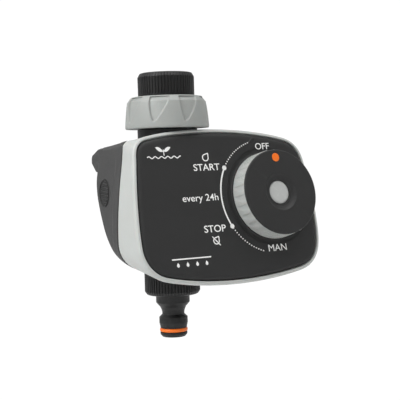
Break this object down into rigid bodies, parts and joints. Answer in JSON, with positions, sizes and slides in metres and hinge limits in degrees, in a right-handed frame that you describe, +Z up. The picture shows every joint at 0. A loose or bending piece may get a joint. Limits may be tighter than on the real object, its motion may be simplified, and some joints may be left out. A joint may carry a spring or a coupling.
{
  "type": "drip irrigation timer",
  "caption": "Single-dial water timer that hangs on a garden tap and opens a motorised ball valve to feed a drip irrigation hose.",
  "frame": {"origin": "centre of the tap adapter's mouth, on the water axis", "axes": "+Z up along the water axis, towards the tap; -Y out of the front; +X to the right seen from the front, towards the dial"},
  "size_m": [0.122, 0.0785, 0.1518],
  "materials": {
    "shell_dark": "satin",
    "frame_light": "satin",
    "panel_dark": "fine matt grain",
    "soft_pad": "matt",
    "seal_rubber": "matt",
    "dial_light": "satin",
    "pointer_orange": "smooth",
    "button_grey": "satin",
    "black_plastic": "satin",
    "nut_grey": "satin",
    "white_plastic": "smooth",
    "board_green": "lacquered",
    "chip_black": "satin",
    "contact_metal": "plated",
    "steel": "plain",
    "ball_brass": "polished",
    "oring_orange": "smooth",
    "battery_wrap": "printed sleeve, plain",
    "lead_red": "insulated wire"
  },
  "bodies": {
    "housing": {"rear_shell": "shell_dark", "cover_seal": "seal_rubber", "front_frame": "frame_light", "front_panel": "panel_dark", "housing_seal": "seal_rubber", "grip_pad_left": "soft_pad", "grip_pad_right": "soft_pad", "push_switch": "steel", "circuit_board": "board_green", "board_parts": "chip_black", "board_cover": "shell_dark", "board_screws": "steel", "contact_pins": "contact_metal", "contact_socket": "white_plastic", "nut_ring": "white_plastic", "inlet_filter": "white_plastic", "inlet_stub": "black_plastic", "stub_o_ring": "seal_rubber", "valve_body": "black_plastic", "valve_screws": "steel", "valve_clamp": "steel", "clamp_screw": "steel", "upper_seat": "white_plastic", "lower_seat": "white_plastic", "stem_o_ring": "seal_rubber", "idler_pin": "steel", "gear_plate_inner": "white_plastic", "gear_plate_outer": "white_plastic", "plate_pillars": "steel", "motor": "steel", "motor_screws": "steel", "motor_leads": "lead_red", "battery": "battery_wrap", "battery_tray": "shell_dark", "battery_clip": "chip_black", "battery_leads": "seal_rubber"},
    "dial": {"dial_skirt": "dial_light", "dial_face": "panel_dark", "dial_pointer": "pointer_orange", "wiper_disc": "white_plastic", "wiper_contacts": "contact_metal"},
    "button": {"centre_button": "button_grey", "switch_plunger": "chip_black"},
    "battery_door": {"battery_cover": "shell_dark"},
    "nut": {"swivel_nut": "nut_grey"},
    "union_seal": {"union_washer": "seal_rubber"},
    "adapter": {"tap_adapter": "black_plastic", "tap_washer": "seal_rubber"},
    "valve": {"valve_ball": "ball_brass", "valve_stem": "ball_brass", "valve_gear": "white_plastic"},
    "idler": {"idler_gear": "white_plastic"},
    "drive": {"motor_pinion": "ball_brass", "motor_shaft": "steel"},
    "outlet_seal": {"outlet_washer": "seal_rubber"},
    "connector": {"outlet_connector": "black_plastic", "outlet_o_ring": "oring_orange"}
  },
  "joints": [
    {"name": "dial_turn", "type": "hinge", "parent": "housing", "child": "dial", "pos_m": [0.0496, -0.0295, -0.0724], "axis": [0, -0.9744, 0.225], "range_deg": [0, 180]},
    {"name": "button_press", "type": "slide", "parent": "housing", "child": "button", "axis": [0, 0.9744, -0.225], "range_m": [0, 0.001], "stiffness_N_per_m": 600},
    {"name": "cover_lift", "type": "slide", "parent": "housing", "child": "battery_door", "axis": [0, 1, 0], "range_m": [0, 0.03]},
    {"name": "nut_turn", "type": "hinge", "parent": "housing", "child": "nut", "pos_m": [0, 0, -0.022], "axis": [0, 0, 1], "continuous": true},
    {"name": "adapter_lift", "type": "slide", "parent": "housing", "child": "union_seal", "axis": [0, 0, 1], "range_m": [0, 0.012]},
    {"name": "adapter_turn", "type": "hinge", "parent": "union_seal", "child": "adapter", "pos_m": [0, 0, -0.02], "axis": [0, 0, 1], "range_deg": [0, 1880]},
    {"name": "valve_turn", "type": "hinge", "parent": "housing", "child": "valve", "pos_m": [0.018, 0, -0.0932], "axis": [1, 0, 0], "range_deg": [0, 90]},
    {"name": "idler_turn", "type": "hinge", "parent": "housing", "child": "idler", "pos_m": [0.02, -0.01151, -0.08979], "axis": [1, 0, 0], "range_deg": [-271, 1]},
    {"name": "motor_turn", "type": "hinge", "parent": "housing", "child": "drive", "pos_m": [0.024, -0.006, -0.09559], "axis": [1, 0, 0], "range_deg": [-1, 631]},
    {"name": "connector_drop", "type": "slide", "parent": "housing", "child": "outlet_seal", "axis": [0, 0, -1], "range_m": [0, 0.009]},
    {"name": "connector_turn", "type": "hinge", "parent": "outlet_seal", "child": "connector", "pos_m": [0, 0, -0.12], "axis": [0, 0, -1], "range_deg": [0, 1790]}
  ],
  "couplings": [
    {"joint": "adapter_turn", "follows": "adapter_lift", "rad_per_m": 2721.2},
    {"joint": "connector_turn", "follows": "connector_drop", "rad_per_m": 3463.7},
    {"joint": "idler_turn", "follows": "valve_turn", "ratio": -3},
    {"joint": "motor_turn", "follows": "valve_turn", "ratio": 7}
  ]
}
